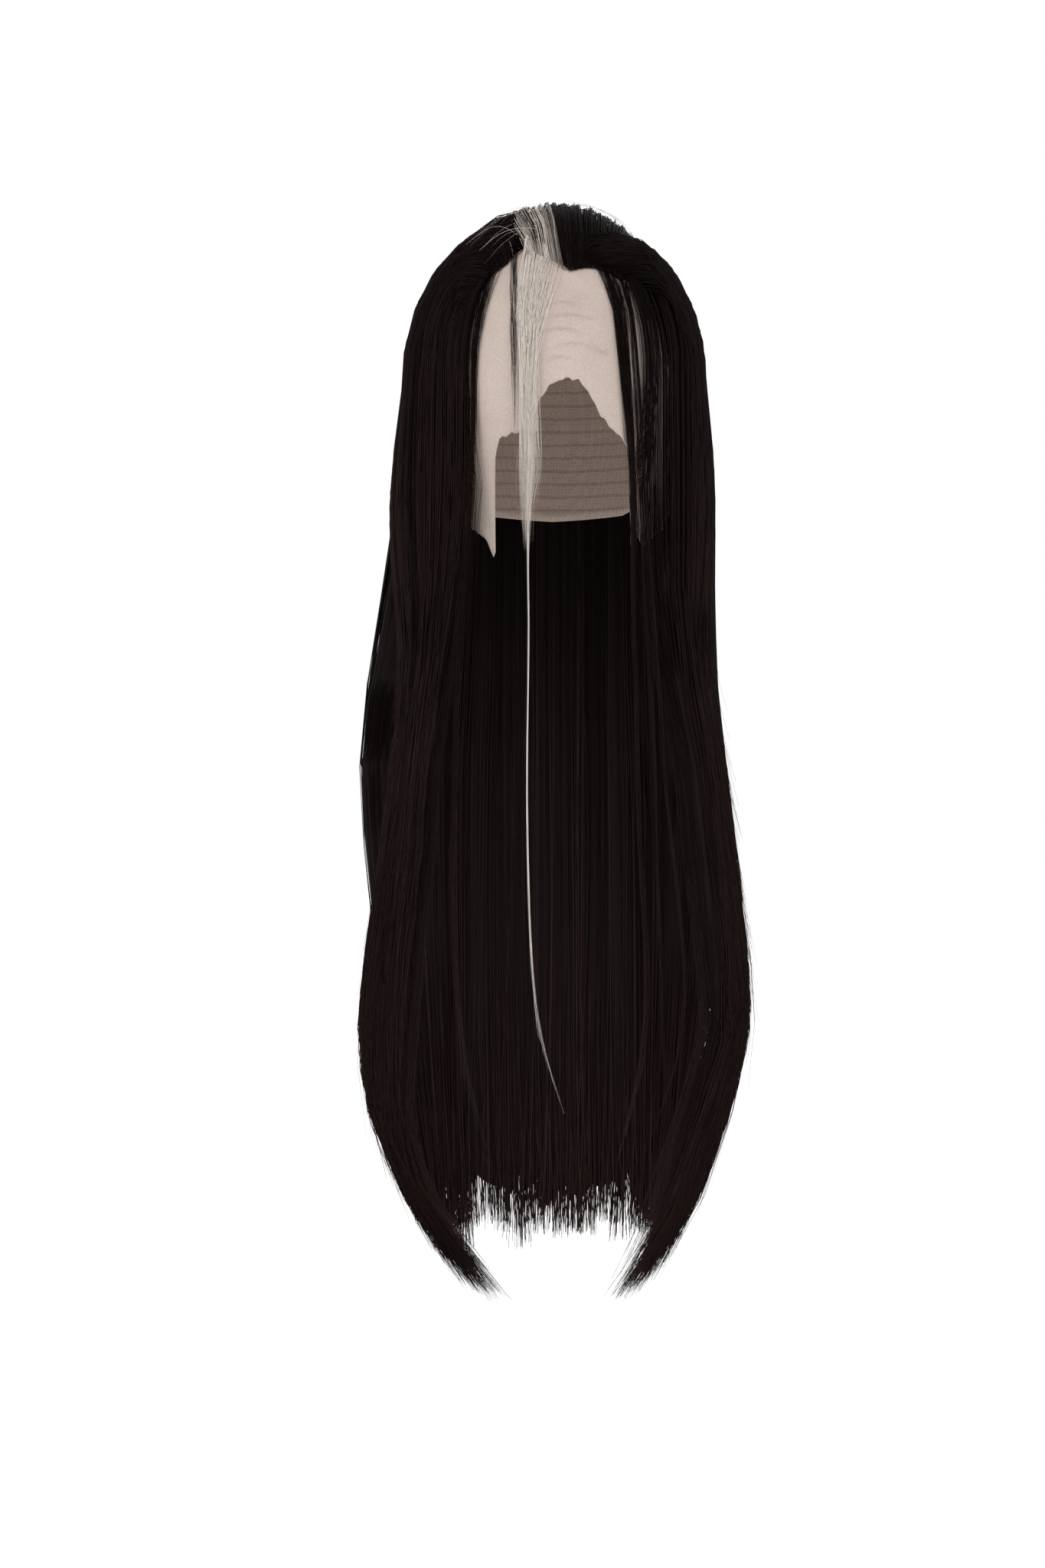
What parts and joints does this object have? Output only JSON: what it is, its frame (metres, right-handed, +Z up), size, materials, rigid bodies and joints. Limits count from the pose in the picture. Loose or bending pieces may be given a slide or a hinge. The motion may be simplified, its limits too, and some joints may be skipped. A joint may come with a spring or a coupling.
{
  "type": "lace front wig",
  "caption": "Long straight wig on a lace front cap, combed back at the crown, with two falls in front of the shoulders and hair down the back.",
  "frame": {"origin": "inner apex of the cap, where the wig sits on the crown of a head", "axes": "+Z up, the face looks along -Y, and the viewer's left is -X"},
  "size_m": [0.2429, 0.2418, 0.6646],
  "materials": {
    "dark_hair": "soft sheen, straight strands",
    "white_hair": "soft sheen, straight strands",
    "lace_net": "fine translucent net",
    "cap_net": "stretch net"
  },
  "bodies": {
    "root": {"cap_crown": "cap_net", "cap_ear_left": "cap_net", "cap_ear_right": "cap_net", "cap_nape": "cap_net", "lace_front": "lace_net", "crown_sweep_left": "dark_hair", "crown_streak": "white_hair", "crown_sweep_right": "dark_hair", "side_fall_left": "dark_hair", "side_fall_right": "dark_hair", "back_fall_left": "dark_hair", "back_fall_centre": "dark_hair", "back_fall_right": "dark_hair", "front_streak_lock": "white_hair", "brow_lock": "dark_hair", "temple_lock_left": "dark_hair", "temple_lock_right_1": "dark_hair", "temple_lock_right_2": "dark_hair", "temple_lock_right_3": "dark_hair"}
  },
  "joints": []
}
